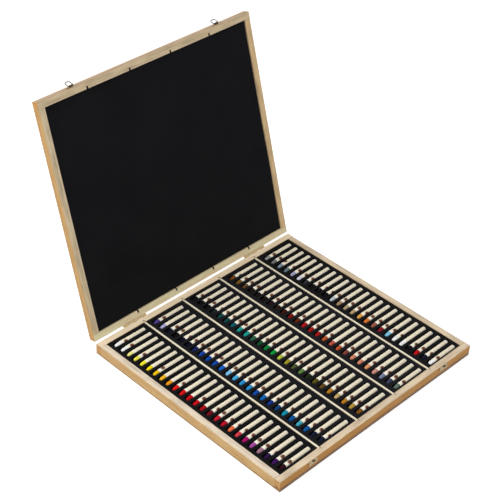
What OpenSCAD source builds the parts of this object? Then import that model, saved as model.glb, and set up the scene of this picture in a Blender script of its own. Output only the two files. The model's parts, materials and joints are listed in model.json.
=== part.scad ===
// Hinged wooden presentation case for oil pastels, standing open.
// X runs along the hinge line, Y from the latches to the hinges, Z up.
// The origin is the centre of the base's underside. Millimetres.

/* [Case] */
// Outside width of the case, along the hinges
case_w = 465; // [430:1:560]
// Outside depth of the case, from latches to hinges
case_d = 426; // [340:1:520]
// Height of the base from its underside to its rim
base_h = 20.5; // [19:0.5:30]
// Height of the lid from its rim to its outer face
lid_h = 14; // [12:0.5:24]
// Thickness of the frame rails
rail_t = 12; // [9:0.5:16]
// Thickness of the bottom and lid panels
panel_t = 3; // [2:0.5:4]
// Width of the small flat that eases the rails' long edges
edge_break = 0.4; // [0.2:0.1:1]
// Angle between the closed and the open lid
lid_open = 107.25; // [95:0.25:120]
// Gap left between the two rims when the lid is shut
seam_gap = 0.3; // [0.2:0.1:0.6]

/* [Compartments] */
// Amount by which each outer compartment is narrower than the others
outer_less = 1.8; // [0:0.2:4]
// Thickness of the dividers
divider_t = 3; // [2:0.5:5]
// Depth of the grooves in the rails that hold the dividers
groove_depth = 5; // [3:0.5:6]
// Distance from the base's rim down to the top of the foam trays
tray_drop = 1.4; // [1:0.1:3]
// Least thickness of a foam tray's end wall
tray_end_wall = 2; // [1.5:0.5:4]
// Distance from the lid's rim down to the face of its pad
pad_recess = 2.4; // [1.5:0.1:4]

/* [Pastels] */
// Diameter of a wrapped pastel
pastel_d = 9.2; // [8:0.1:12]
// Length of a pastel
pastel_l = 66.5; // [50:0.5:72]
// Distance between neighbouring pastels in a tray
pastel_pitch = 15.9; // [15:0.1:20]
// Length of bare pigment in front of the wrapper
bare_tip_l = 12.5; // [12:0.5:20]
// Length of the rounded end of a pastel
dome_l = 9.5; // [4:0.5:12]
// Thickness of the paper wrapper
paper_t = 0.25; // [0.2:0.05:0.5]
// Height by which a pastel stands above the foam
pastel_proud = 0.4; // [0.2:0.1:2]

/* [Hinges] */
// Length of a hinge
hinge_l = 50; // [40:1:70]
// Distance from each end of the case to a hinge's middle
hinge_inset = 87.5; // [60:0.5:110]
// Height of a hinge leaf from the pin's axis
leaf_h = 9.5; // [8:0.5:10]
// Thickness of a hinge leaf
leaf_t = 0.8; // [0.6:0.1:0.8]
// Diameter of the hinge knuckles
knuckle_d = 3.8; // [2.6:0.1:4]
// Diameter of the hinge pins
hinge_pin_d = 1.2; // [0.8:0.1:1.2]
// Height of the pins' axis above the middle of the seam
axis_rise = 0.3; // [0:0.1:0.5]

/* [Latches] */
// Distance from each end of the case to a latch's middle
latch_inset = 72.5; // [45:0.5:110]
// Distance from each rim to the edge of the latch and keeper plates
plate_drop = 0.4; // [0.2:0.1:1]
// Width of the latch and keeper plates
plate_w = 20; // [18:0.5:24]
// Thickness of the latch and keeper plates
plate_t = 0.8; // [0.6:0.1:1]
// Height of a keeper plate
keeper_h = 9.5; // [8:0.5:12]
// Distance from a keeper plate's top edge down to its hook
hook_drop = 1; // [0.5:0.1:2]
// Distance from the lid's rim up to a loop's pivot
pivot_rise = 6.5; // [6:0.1:8]
// Width of the wire loop between the middles of its legs
loop_w = 10; // [9.5:0.1:12]
// Radius to which the loop's far corners are bent, at the wire's middle
loop_far_r = 3.6; // [2:0.1:4]
// Diameter of the loop's wire
wire_d = 1.5; // [1.2:0.1:1.6]
// Angle at which a free loop stands off the open lid
loop_stand = 28; // [10:1:60]

/* [Hidden] */
$fn = 48;
eps = 0.01;

// Clearances
divider_gap = 0.1;     // each side of a divider in its groove
divider_top_gap = 0.8; // from a divider's top edge to the rim
foam_gap = 0.5;        // between foam and the wood around it
slot_gap = 0.4;        // each side of a pastel in its slot
slot_end_gap = 1;      // at each end of a pastel in its slot
seat_gap = 0.2;        // under a pastel in its slot
strip_gap = 0.1;       // from a cross strip of a tray to its side strips
paper_gap = 0.15;      // between pigment and paper
pin_gap = 0.05;        // around a pin in its bore
knuckle_gap = 0.3;     // between neighbouring knuckles
wood_gap = 0.2;        // between a knuckle and the wood
screw_gap = 0.05;      // around a screw in its hole
loop_gap = 0.3;        // between a loop's wire and the plates behind it
hook_gap = 0.6;        // between a hook and the loop's far bar
hook_side_gap = 0.5;   // between a hook's sides and the loop

// Base frame and what it encloses
inner_w = case_w - 2 * rail_t;
inner_d = case_d - 2 * rail_t;
base_rail_h = base_h - panel_t;
lid_rail_h = lid_h - panel_t;
compartments = 5;
middle_w = (inner_w - (compartments - 1) * divider_t + 2 * outer_less) / compartments;
outer_w = middle_w - outer_less;
divider_pitch = middle_w + divider_t;
groove_w = divider_t + 2 * divider_gap;
divider_l = inner_d + 2 * (groove_depth - divider_gap);
divider_h = base_rail_h - divider_top_gap;

// Foam trays: a sheet, and on it the strips that leave the slots between them.
// The slots of each tray lie this far from the middle of the case toward the hinges,
// and this far to the right of the middle of their compartment.
tray_shifts = [0.2, -0.1, 1.5, -0.9, -1.8];
tray_asides = [0, -0.7, 1.1, 1.7, 1.9];
tray_l = inner_d - 2 * foam_gap;
tray_top_z = base_h - tray_drop;
slot_w = pastel_d + 2 * slot_gap;
slot_l = pastel_l + 2 * slot_end_gap;
slot_depth = pastel_d + seat_gap - pastel_proud;
slot_room = tray_l - 2 * (tray_end_wall + max([for (s = tray_shifts) abs(s)]));
slots = floor((slot_room - slot_w) / pastel_pitch) + 1;
slot_floor_z = tray_top_z - slot_depth;
rib_w = pastel_pitch - slot_w;
pastel_z = slot_floor_z + seat_gap + pastel_d / 2;
pigment_r = pastel_d / 2 - paper_t - paper_gap;
wrapper_l = pastel_l - bare_tip_l;
dome_steps = 6;

// Lid in its shut place, from which the hinge turns it open
lid_z = base_h + seam_gap;
lid_panel_z = lid_z + lid_rail_h;
soft_gap = 0.3;
pad_t = lid_rail_h - pad_recess - soft_gap;

// Hinges
hinge_x = case_w / 2 - hinge_inset;
knuckle_r = knuckle_d / 2;
axis_offset = knuckle_r + wood_gap;
axis_y = case_d / 2 + axis_offset;
axis_z = base_h + seam_gap / 2 + axis_rise;
knuckles = 5;
knuckle_l = (hinge_l - (knuckles - 1) * knuckle_gap) / knuckles;
pin_head_t = 0.6;
pin_head_r = hinge_pin_d / 2 + 0.6;
leaf_screws = 3;
leaf_screw_pitch = hinge_l * 0.34;
leaf_screw_z = (knuckle_r + knuckle_gap + leaf_h) / 2;

// Countersunk screws: head radius, shank radius and length
hinge_head_r = 1.9;
hinge_shank_r = 0.9;
hinge_screw_l = leaf_t + rail_t - groove_depth - 1;
plate_head_r = 1.5;
plate_shank_r = 0.6;
plate_screw_l = plate_t + rail_t - groove_depth - 1;
drill_tip = 0.4;

// Latches: a plate on the lid whose top edge is rolled round the loop's pivot bar
latch_x = case_w / 2 - latch_inset;
plate_screw_x = plate_w / 3;
latch_plate_z = lid_z + plate_drop;
latch_z = lid_z + pivot_rise;
latch_screw_z = (latch_plate_z + latch_z) / 2;
latch_out = plate_t + loop_gap + wire_d / 2;
latch_y = -case_d / 2 - latch_out;
barrel_r = wire_d / 2 + pin_gap + plate_t;
loop_near_r = 1.8;
barrel_end_gap = 0.3;
barrel_l = loop_w - 2 * loop_near_r - 2 * barrel_end_gap;

// Keepers, and the loop's length, which follows from where their hooks sit.
// A hook is as wide as the bends of the loop's far corners leave room for.
keeper_top_z = base_h - plate_drop;
keeper_screw_z = keeper_top_z - keeper_h / 2;
hook_t = 0.8;
hook_z = keeper_top_z - hook_drop - hook_t;
hook_reach = latch_out + wire_d / 2 + 0.9;
hook_lip_t = 0.7;
hook_lip_h = 0.2;
bend_inner_r = loop_far_r - wire_d / 2;
hook_w = loop_w - 2 * loop_far_r - 2 * hook_side_gap
    + 2 * sqrt(pow(bend_inner_r, 2) - pow(bend_inner_r - hook_gap, 2));
loop_l = latch_z - (hook_z - hook_gap - wire_d / 2);

wood = [0.85, 0.74, 0.56];
wood_side = [0.80, 0.66, 0.45];
foam_black = [0.10, 0.10, 0.11];
brass = [0.72, 0.58, 0.34];
paper = [0.93, 0.89, 0.75];
pigments = [[0.90, 0.30, 0.15], [0.15, 0.40, 0.75], [0.10, 0.50, 0.35],
    [0.50, 0.22, 0.15], [0.60, 0.62, 0.68]];

function is_outer(i) = i == 0 || i == compartments - 1;
function tray_w(i) = (is_outer(i) ? outer_w : middle_w) - 2 * foam_gap;
function compartment_x(i) = i == 0 ? -(inner_w - outer_w) / 2
    : i == compartments - 1 ? (inner_w - outer_w) / 2
    : (i - (compartments - 1) / 2) * divider_pitch;
function slots_x(i) = compartment_x(i) + tray_asides[i];
function divider_x(i) = (i - compartments / 2 + 1) * divider_pitch;
function slot_y(i, j) = tray_shifts[i] + (j - (slots - 1) / 2) * pastel_pitch;

// ---------- helpers ----------

// Turns what is drawn in the shut lid's place round the hinge axis to the open lid
module opened() {
    translate([0, axis_y, axis_z])
        rotate([-lid_open, 0, 0])
            translate([0, -axis_y, -axis_z])
                children();
}

// A board of size [x, y, z] with its low corner at the origin and the four
// edges along its length eased; the length is along "x" or "y"
module board(size, along) {
    c = edge_break;
    wide = along == "x" ? size[1] : size[0];
    long = along == "x" ? size[0] : size[1];
    outline = [[c, 0], [wide - c, 0], [wide, c], [wide, size[2] - c],
        [wide - c, size[2]], [c, size[2]], [0, size[2] - c], [0, c]];
    if (along == "x")
        rotate([90, 0, 90])
            linear_extrude(long)
                polygon(outline);
    else
        translate([0, long, 0])
            rotate([90, 0, 0])
                linear_extrude(long)
                    polygon(outline);
}

// Grooves that cross a rail's inner face, cut from z = low up through the rail
module divider_grooves(inner_y, inward, low, height) {
    for (i = [0:compartments - 2])
        translate([divider_x(i) - groove_w / 2,
                inward > 0 ? inner_y - groove_depth : inner_y - eps, low])
            cube([groove_w, groove_depth + eps, height]);
}

// A countersunk screw along +Z, its head's flat top at z = 0, with a cross recess
module screw(head_r, shank_r, length) {
    head_h = head_r - shank_r;
    recess_w = head_r * 0.28;
    difference() {
        union() {
            translate([0, 0, -head_h])
                cylinder(r1 = shank_r, r2 = head_r, h = head_h);
            translate([0, 0, -length])
                cylinder(r = shank_r, h = length - head_h + eps);
        }
        for (a = [0, 90])
            rotate([0, 0, a])
                translate([-head_r * 0.7, -recess_w / 2, -head_h * 0.6])
                    cube([head_r * 1.4, recess_w, head_h]);
    }
}

// The hole that such a screw needs, with screw_gap all round
module screw_hole(head_r, shank_r, length) {
    head_h = head_r - shank_r;
    translate([0, 0, -head_h - screw_gap])
        cylinder(r1 = shank_r + screw_gap, r2 = head_r + screw_gap, h = head_h + screw_gap);
    translate([0, 0, -eps])
        cylinder(r = head_r + screw_gap, h = 1);
    translate([0, 0, -length - drill_tip])
        cylinder(r = shank_r + screw_gap, h = length + drill_tip);
}

// Places for the screws of the hinge leaves: side is -1 on the base and 1 on the lid
module at_leaf_screws(side) {
    for (end = [-1, 1], i = [0:leaf_screws - 1])
        translate([end * hinge_x + (i - (leaf_screws - 1) / 2) * leaf_screw_pitch,
                case_d / 2 + leaf_t, axis_z + side * leaf_screw_z])
            rotate([-90, 0, 0])
                children();
}

// Places for the screws of the latch or keeper plates, which sit at height z
module at_plate_screws(z) {
    for (end = [-1, 1], side = [-1, 1])
        translate([end * latch_x + side * plate_screw_x, -case_d / 2 - plate_t, z])
            rotate([90, 0, 0])
                children();
}

// ---------- base frame ----------

module base_front_rail() {
    color(wood_side)
        difference() {
            translate([-case_w / 2, -case_d / 2, panel_t])
                board([case_w, rail_t, base_rail_h], "x");
            divider_grooves(-inner_d / 2, 1, panel_t - eps, base_rail_h + 2 * eps);
            at_plate_screws(keeper_screw_z)
                screw_hole(plate_head_r, plate_shank_r, plate_screw_l);
        }
}

module base_back_rail() {
    color(wood)
        difference() {
            translate([-case_w / 2, inner_d / 2, panel_t])
                board([case_w, rail_t, base_rail_h], "x");
            divider_grooves(inner_d / 2, -1, panel_t - eps, base_rail_h + 2 * eps);
            at_leaf_screws(-1)
                screw_hole(hinge_head_r, hinge_shank_r, hinge_screw_l);
        }
}

module base_left_rail() {
    color(wood)
        translate([-case_w / 2, -inner_d / 2, panel_t])
            board([rail_t, inner_d, base_rail_h], "y");
}

module base_right_rail() {
    color(wood)
        translate([inner_w / 2, -inner_d / 2, panel_t])
            board([rail_t, inner_d, base_rail_h], "y");
}

module base_panel() {
    color(wood_side)
        translate([-case_w / 2, -case_d / 2, 0])
            cube([case_w, case_d, panel_t]);
}

module divider(i) {
    color(wood)
        translate([divider_x(i) - divider_t / 2, -divider_l / 2, panel_t])
            cube([divider_t, divider_l, divider_h]);
}
module divider_1() { divider(0); }
module divider_2() { divider(1); }
module divider_3() { divider(2); }
module divider_4() { divider(3); }

// ---------- trays and pastels ----------

// The foam sheet that the pastels of one compartment lie on
module tray_sheet(i) {
    color(foam_black)
        translate([compartment_x(i) - tray_w(i) / 2, -tray_l / 2, panel_t])
            cube([tray_w(i), tray_l, slot_floor_z - panel_t]);
}
module tray_sheet_1() { tray_sheet(0); }
module tray_sheet_2() { tray_sheet(1); }
module tray_sheet_3() { tray_sheet(2); }
module tray_sheet_4() { tray_sheet(3); }
module tray_sheet_5() { tray_sheet(4); }

// The foam strips glued on that sheet: one along each side and one between each two slots
module tray_strips(i) {
    left_x = compartment_x(i) - tray_w(i) / 2;
    right_x = left_x + tray_w(i);
    slots_left_x = slots_x(i) - slot_l / 2;
    slots_right_x = slots_left_x + slot_l;
    cross_x = slots_left_x + strip_gap;
    cross_l = slot_l - 2 * strip_gap;
    first_y = slot_y(i, 0) - slot_w / 2;
    last_y = slot_y(i, slots - 1) + slot_w / 2;
    color(foam_black)
        translate([0, 0, slot_floor_z]) {
            for (sides = [[left_x, slots_left_x], [slots_right_x, right_x]])
                translate([sides[0], -tray_l / 2, 0])
                    cube([sides[1] - sides[0], tray_l, slot_depth]);
            for (ends = [[-tray_l / 2, first_y], [last_y, tray_l / 2]])
                translate([cross_x, ends[0], 0])
                    cube([cross_l, ends[1] - ends[0], slot_depth]);
            for (j = [0:slots - 2])
                translate([cross_x, slot_y(i, j) + slot_w / 2, 0])
                    cube([cross_l, rib_w, slot_depth]);
        }
}
module tray_strips_1() { tray_strips(0); }
module tray_strips_2() { tray_strips(1); }
module tray_strips_3() { tray_strips(2); }
module tray_strips_4() { tray_strips(3); }
module tray_strips_5() { tray_strips(4); }

// A pigment stick along +X from its rounded tip at the origin
module pigment_stick() {
    outline = concat(
        [for (s = [0:dome_steps])
            [pigment_r * sqrt(1 - pow(1 - s / dome_steps, 2)), dome_l * s / dome_steps]],
        [[pigment_r, pastel_l - paper_t - paper_gap], [0, pastel_l - paper_t - paper_gap]]);
    rotate([0, 90, 0])
        rotate_extrude()
            polygon(outline);
}

// A paper sleeve, open at the tip's side and folded shut over the butt
module wrapper() {
    translate([bare_tip_l, 0, 0])
        rotate([0, 90, 0])
            difference() {
                cylinder(r = pastel_d / 2, h = wrapper_l);
                translate([0, 0, -eps])
                    cylinder(r = pastel_d / 2 - paper_t, h = wrapper_l - paper_t + eps);
            }
}

module in_slots(i) {
    for (j = [0:slots - 1])
        translate([slots_x(i) - pastel_l / 2, slot_y(i, j), pastel_z])
            children();
}

module pastels(i) {
    color(pigments[i])
        in_slots(i)
            pigment_stick();
}
module pastels_1() { pastels(0); }
module pastels_2() { pastels(1); }
module pastels_3() { pastels(2); }
module pastels_4() { pastels(3); }
module pastels_5() { pastels(4); }

module wrappers(i) {
    color(paper)
        in_slots(i)
            wrapper();
}
module wrappers_1() { wrappers(0); }
module wrappers_2() { wrappers(1); }
module wrappers_3() { wrappers(2); }
module wrappers_4() { wrappers(3); }
module wrappers_5() { wrappers(4); }

// ---------- lid ----------

module lid_front_rail() {
    color(wood)
        opened()
            difference() {
                translate([-case_w / 2, -case_d / 2, lid_z])
                    board([case_w, rail_t, lid_rail_h], "x");
                divider_grooves(-inner_d / 2, 1, lid_z - eps, lid_rail_h + 2 * eps);
                at_plate_screws(latch_screw_z)
                    screw_hole(plate_head_r, plate_shank_r, plate_screw_l);
            }
}

module lid_back_rail() {
    color(wood)
        opened()
            difference() {
                translate([-case_w / 2, inner_d / 2, lid_z])
                    board([case_w, rail_t, lid_rail_h], "x");
                divider_grooves(inner_d / 2, -1, lid_z - eps, lid_rail_h + 2 * eps);
                at_leaf_screws(1)
                    screw_hole(hinge_head_r, hinge_shank_r, hinge_screw_l);
            }
}

module lid_left_rail() {
    color(wood_side)
        opened()
            translate([-case_w / 2, -inner_d / 2, lid_z])
                board([rail_t, inner_d, lid_rail_h], "y");
}

module lid_right_rail() {
    color(wood)
        opened()
            translate([inner_w / 2, -inner_d / 2, lid_z])
                board([rail_t, inner_d, lid_rail_h], "y");
}

module lid_panel() {
    color(wood)
        opened()
            translate([-case_w / 2, -case_d / 2, lid_panel_z])
                cube([case_w, case_d, panel_t]);
}

module lid_pad() {
    color(foam_black)
        opened()
            translate([-inner_w / 2 + foam_gap, -inner_d / 2 + foam_gap, lid_z + pad_recess])
                cube([inner_w - 2 * foam_gap, inner_d - 2 * foam_gap, pad_t]);
}

// ---------- hinges ----------

// One leaf about the hinge axis: side is -1 for the base and 1 for the lid.
// The base carries the odd knuckles and the lid the even ones.
module hinge_leaf(side) {
    own = side < 0 ? [0:2:knuckles - 1] : [1:2:knuckles - 1];
    flat_start = knuckle_r + knuckle_gap;
    difference() {
        union() {
            translate([-hinge_l / 2, -axis_offset, side > 0 ? flat_start : -leaf_h])
                cube([hinge_l, leaf_t, leaf_h - flat_start]);
            for (k = own)
                translate([-hinge_l / 2 + k * (knuckle_l + knuckle_gap), 0, 0]) {
                    rotate([0, 90, 0])
                        cylinder(r = knuckle_r, h = knuckle_l);
                    translate([0, -axis_offset, side > 0 ? 0 : -flat_start - eps])
                        cube([knuckle_l, leaf_t, flat_start + eps]);
                }
        }
        translate([-hinge_l / 2 - eps, 0, 0])
            rotate([0, 90, 0])
                cylinder(r = hinge_pin_d / 2 + pin_gap, h = hinge_l + 2 * eps);
    }
}

module base_leaf(end) {
    color(brass)
        difference() {
            translate([end * hinge_x, axis_y, axis_z])
                hinge_leaf(-1);
            at_leaf_screws(-1)
                screw_hole(hinge_head_r, hinge_shank_r, hinge_screw_l);
        }
}
module hinge_base_leaf_left() { base_leaf(-1); }
module hinge_base_leaf_right() { base_leaf(1); }

module lid_leaf(end) {
    color(brass)
        opened()
            difference() {
                translate([end * hinge_x, axis_y, axis_z])
                    hinge_leaf(1);
                at_leaf_screws(1)
                    screw_hole(hinge_head_r, hinge_shank_r, hinge_screw_l);
            }
}
module hinge_lid_leaf_left() { lid_leaf(-1); }
module hinge_lid_leaf_right() { lid_leaf(1); }

module hinge_pin(end) {
    color(brass)
        translate([end * hinge_x - hinge_l / 2, axis_y, axis_z])
            rotate([0, 90, 0]) {
                for (z = [-pin_head_t - pin_gap, hinge_l + pin_gap])
                    translate([0, 0, z])
                        cylinder(r = pin_head_r, h = pin_head_t);
                translate([0, 0, -pin_gap - eps])
                    cylinder(r = hinge_pin_d / 2, h = hinge_l + 2 * pin_gap + 2 * eps);
            }
}
module hinge_pin_left() { hinge_pin(-1); }
module hinge_pin_right() { hinge_pin(1); }

module base_hinge_screws() {
    color(brass)
        at_leaf_screws(-1)
            screw(hinge_head_r, hinge_shank_r, hinge_screw_l);
}

module lid_hinge_screws() {
    color(brass)
        opened()
            at_leaf_screws(1)
                screw(hinge_head_r, hinge_shank_r, hinge_screw_l);
}

// ---------- latches ----------

// A plate on the lid's front face whose top edge is rolled round the loop's pivot bar
module latch_plate(end) {
    color(brass)
        opened()
            difference() {
                union() {
                    translate([end * latch_x - plate_w / 2, -case_d / 2 - plate_t, latch_plate_z])
                        cube([plate_w, plate_t, latch_z - latch_plate_z]);
                    translate([end * latch_x - barrel_l / 2, latch_y, latch_z])
                        rotate([0, 90, 0])
                            cylinder(r = barrel_r, h = barrel_l);
                }
                translate([end * latch_x - barrel_l / 2 - eps, latch_y, latch_z])
                    rotate([0, 90, 0])
                        cylinder(r = wire_d / 2 + pin_gap, h = barrel_l + 2 * eps);
                at_plate_screws(latch_screw_z)
                    screw_hole(plate_head_r, plate_shank_r, plate_screw_l);
            }
}
module latch_plate_left() { latch_plate(-1); }
module latch_plate_right() { latch_plate(1); }

// A straight wire between two points of the XZ plane
module wire(from, to) {
    along = to - from;
    translate([from[0], 0, from[1]])
        rotate([0, atan2(along[0], along[1]), 0])
            cylinder(r = wire_d / 2, h = norm(along));
}

// A quarter bend of radius r in the XZ plane about a centre, from the angle start
module wire_bend(centre, r, start) {
    translate([centre[0], 0, centre[1]])
        rotate([90, 0, 0])
            rotate([0, 0, start])
                rotate_extrude(angle = 90)
                    translate([r, 0])
                        circle(r = wire_d / 2);
}

// A closed wire loop in the XZ plane: pivot bar through the origin, far bar at +Z
module wire_loop() {
    near_x = loop_w / 2 - loop_near_r;
    far_x = loop_w / 2 - loop_far_r;
    far_z = loop_l - loop_far_r;
    wire([-near_x, 0], [near_x, 0]);
    wire([-far_x, loop_l], [far_x, loop_l]);
    for (side = [-1, 1])
        wire([side * loop_w / 2, loop_near_r], [side * loop_w / 2, far_z]);
    wire_bend([near_x, loop_near_r], loop_near_r, 270);
    wire_bend([far_x, far_z], loop_far_r, 0);
    wire_bend([-far_x, far_z], loop_far_r, 90);
    wire_bend([-near_x, loop_near_r], loop_near_r, 180);
}

module latch_loop(end) {
    color(brass)
        opened()
            translate([end * latch_x, latch_y, latch_z])
                rotate([loop_stand, 0, 0])
                    wire_loop();
}
module latch_loop_left() { latch_loop(-1); }
module latch_loop_right() { latch_loop(1); }

module latch_screws() {
    color(brass)
        opened()
            at_plate_screws(latch_screw_z)
                screw(plate_head_r, plate_shank_r, plate_screw_l);
}

// A plate on the base's front face with a lipped hook over the loop's far bar
module keeper(end) {
    face_y = -case_d / 2;
    color(brass)
        difference() {
            union() {
                translate([end * latch_x - plate_w / 2, face_y - plate_t, keeper_top_z - keeper_h])
                    cube([plate_w, plate_t, keeper_h]);
                translate([end * latch_x - hook_w / 2, face_y - hook_reach, hook_z])
                    cube([hook_w, hook_reach, hook_t]);
                translate([end * latch_x - hook_w / 2, face_y - hook_reach, hook_z - hook_lip_h])
                    cube([hook_w, hook_lip_t, hook_lip_h + eps]);
            }
            at_plate_screws(keeper_screw_z)
                screw_hole(plate_head_r, plate_shank_r, plate_screw_l);
        }
}
module keeper_left() { keeper(-1); }
module keeper_right() { keeper(1); }

module keeper_screws() {
    color(brass)
        at_plate_screws(keeper_screw_z)
            screw(plate_head_r, plate_shank_r, plate_screw_l);
}

base_front_rail();
base_back_rail();
base_left_rail();
base_right_rail();
base_panel();
divider_1();
divider_2();
divider_3();
divider_4();
tray_sheet_1();
tray_sheet_2();
tray_sheet_3();
tray_sheet_4();
tray_sheet_5();
tray_strips_1();
tray_strips_2();
tray_strips_3();
tray_strips_4();
tray_strips_5();
pastels_1();
pastels_2();
pastels_3();
pastels_4();
pastels_5();
wrappers_1();
wrappers_2();
wrappers_3();
wrappers_4();
wrappers_5();
lid_front_rail();
lid_back_rail();
lid_left_rail();
lid_right_rail();
lid_panel();
lid_pad();
hinge_base_leaf_left();
hinge_base_leaf_right();
hinge_lid_leaf_left();
hinge_lid_leaf_right();
hinge_pin_left();
hinge_pin_right();
base_hinge_screws();
lid_hinge_screws();
latch_plate_left();
latch_plate_right();
latch_loop_left();
latch_loop_right();
keeper_left();
keeper_right();
latch_screws();
keeper_screws();
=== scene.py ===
"""Looks of a hinged wooden pastel case: varnished boards, slotted foam, paper-wrapped pastels
and brass fittings."""

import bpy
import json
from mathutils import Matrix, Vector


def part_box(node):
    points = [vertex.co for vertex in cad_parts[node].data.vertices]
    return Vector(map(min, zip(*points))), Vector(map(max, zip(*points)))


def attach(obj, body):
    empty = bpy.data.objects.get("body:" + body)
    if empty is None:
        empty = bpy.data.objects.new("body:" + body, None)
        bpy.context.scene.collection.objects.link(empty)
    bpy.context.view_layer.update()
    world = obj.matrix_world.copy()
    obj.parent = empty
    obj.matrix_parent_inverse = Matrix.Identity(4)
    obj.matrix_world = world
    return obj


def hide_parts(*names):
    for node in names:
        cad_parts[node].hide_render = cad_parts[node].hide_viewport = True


bl_info = {
    "name": "Wooden Pastel Case",
    "version": (1, 0, 0),
    "blender": (4, 5, 0),
    "location": "3D View > Sidebar > Pastel Case",
    "description": "Dresses a hinged wooden case of oil pastels and sets its stage",
    "category": "Object",
}

import json
import math

import bpy
import numpy as np
from mathutils import Euler, Matrix, Vector

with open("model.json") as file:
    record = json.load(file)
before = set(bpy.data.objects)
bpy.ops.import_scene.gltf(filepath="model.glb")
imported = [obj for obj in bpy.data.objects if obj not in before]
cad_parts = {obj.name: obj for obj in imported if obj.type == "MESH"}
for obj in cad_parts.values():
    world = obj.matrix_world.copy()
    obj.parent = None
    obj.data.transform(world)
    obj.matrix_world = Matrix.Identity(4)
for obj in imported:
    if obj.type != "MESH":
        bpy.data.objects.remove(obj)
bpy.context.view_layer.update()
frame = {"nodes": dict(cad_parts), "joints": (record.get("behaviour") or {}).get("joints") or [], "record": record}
MM = 0.001
TRAYS = (1, 2, 3, 4, 5)
LID_HINGE = next(joint for joint in frame["joints"] if joint["name"] == "lid_hinge")
LID_OPEN = -math.radians(LID_HINGE["range_deg"][0])
HINGE_AXIS = Vector(LID_HINGE["pos_m"])

# Named pigments, as display colours
PIGMENTS = {
    "white": (1.0, 1.0, 1.0),
    "cream_yellow": (0.99, 0.96, 0.58),
    "lemon": (0.99, 0.95, 0.32),
    "primrose": (1.00, 0.96, 0.20),
    "chrome_yellow": (1.00, 0.90, 0.08),
    "gold_yellow": (0.99, 0.80, 0.08),
    "saffron": (1.00, 0.76, 0.12),
    "amber": (0.97, 0.62, 0.10),
    "scarlet": (0.92, 0.12, 0.10),
    "signal_red": (0.86, 0.07, 0.09),
    "cherry": (0.80, 0.05, 0.09),
    "blood_red": (0.70, 0.05, 0.10),
    "garnet": (0.46, 0.05, 0.10),
    "carmine": (0.80, 0.12, 0.20),
    "crimson": (0.76, 0.05, 0.16),
    "coral": (0.96, 0.45, 0.28),
    "rose": (0.86, 0.25, 0.30),
    "magenta": (0.68, 0.06, 0.42),
    "orchid": (0.66, 0.30, 0.64),
    "mauve": (0.66, 0.48, 0.56),
    "aubergine": (0.17, 0.07, 0.26),
    "violet": (0.25, 0.07, 0.36),
    "maroon": (0.18, 0.03, 0.09),
    "iris": (0.33, 0.26, 0.56),
    "lilac": (0.72, 0.70, 0.88),
    "midnight": (0.03, 0.03, 0.12),
    "navy": (0.07, 0.09, 0.18),
    "ink_blue": (0.11, 0.15, 0.38),
    "cobalt": (0.08, 0.27, 0.68),
    "azure": (0.05, 0.29, 0.66),
    "gentian": (0.05, 0.35, 0.62),
    "bright_azure": (0.09, 0.40, 0.78),
    "pale_sky": (0.52, 0.80, 0.98),
    "sky": (0.28, 0.70, 0.92),
    "lagoon": (0.18, 0.59, 0.84),
    "cerulean": (0.07, 0.42, 0.74),
    "ultramarine": (0.09, 0.20, 0.54),
    "prussian": (0.07, 0.25, 0.46),
    "turquoise": (0.07, 0.58, 0.70),
    "aqua": (0.26, 0.68, 0.78),
    "black": (0.02, 0.02, 0.03),
    "slate_black": (0.10, 0.14, 0.15),
    "deep_teal": (0.07, 0.28, 0.28),
    "teal": (0.07, 0.37, 0.43),
    "sea_green": (0.10, 0.64, 0.60),
    "grey_green": (0.18, 0.39, 0.29),
    "pine": (0.07, 0.32, 0.17),
    "green": (0.05, 0.52, 0.23),
    "leaf": (0.04, 0.61, 0.24),
    "lime": (0.74, 0.79, 0.28),
    "olive_yellow": (0.65, 0.60, 0.17),
    "moss": (0.32, 0.35, 0.20),
    "sage": (0.38, 0.52, 0.27),
    "dark_olive": (0.12, 0.17, 0.08),
    "olive": (0.36, 0.32, 0.08),
    "bronze": (0.40, 0.30, 0.14),
    "ochre": (0.74, 0.50, 0.12),
    "sand": (0.79, 0.68, 0.45),
    "khaki": (0.74, 0.60, 0.26),
    "raw_sienna": (0.50, 0.32, 0.10),
    "brown": (0.48, 0.29, 0.10),
    "fawn": (0.51, 0.37, 0.15),
    "cocoa": (0.41, 0.28, 0.18),
    "black_brown": (0.07, 0.04, 0.03),
    "plum": (0.13, 0.05, 0.09),
    "sepia": (0.16, 0.08, 0.04),
    "russet": (0.24, 0.07, 0.04),
    "oxide_red": (0.52, 0.07, 0.07),
    "chestnut": (0.38, 0.14, 0.04),
    "claret": (0.72, 0.07, 0.12),
    "vermilion": (0.66, 0.09, 0.08),
    "terracotta": (0.76, 0.35, 0.18),
    "brick": (0.77, 0.34, 0.27),
    "clay": (0.53, 0.26, 0.23),
    "salmon": (0.85, 0.55, 0.42),
    "peach": (0.91, 0.62, 0.41),
    "pink_clay": (0.83, 0.59, 0.53),
    "slate_violet": (0.48, 0.52, 0.66),
    "charcoal": (0.24, 0.27, 0.36),
    "slate_green": (0.39, 0.46, 0.42),
    "warm_grey": (0.62, 0.62, 0.61),
    "mid_grey": (0.48, 0.48, 0.48),
    "cool_grey": (0.53, 0.61, 0.65),
    "steel": (0.45, 0.52, 0.57),
    "haze": (0.68, 0.68, 0.82),
    "mist": (0.89, 0.89, 0.96),
    "graphite": (0.18, 0.18, 0.21),
    "silver": (0.76, 0.80, 0.83),
    "taupe": (0.68, 0.56, 0.42),
    "tan": (0.70, 0.62, 0.47),
    "pale_gold": (0.74, 0.64, 0.46),
    "bright_gold": (0.91, 0.66, 0.30),
    "copper": (0.90, 0.49, 0.20),
    "dark_copper": (0.64, 0.37, 0.30),
    "lake_red": (0.56, 0.11, 0.16),
    "powder_blue": (0.52, 0.81, 0.92),
    "flame_red": (0.76, 0.07, 0.09),
}

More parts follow.
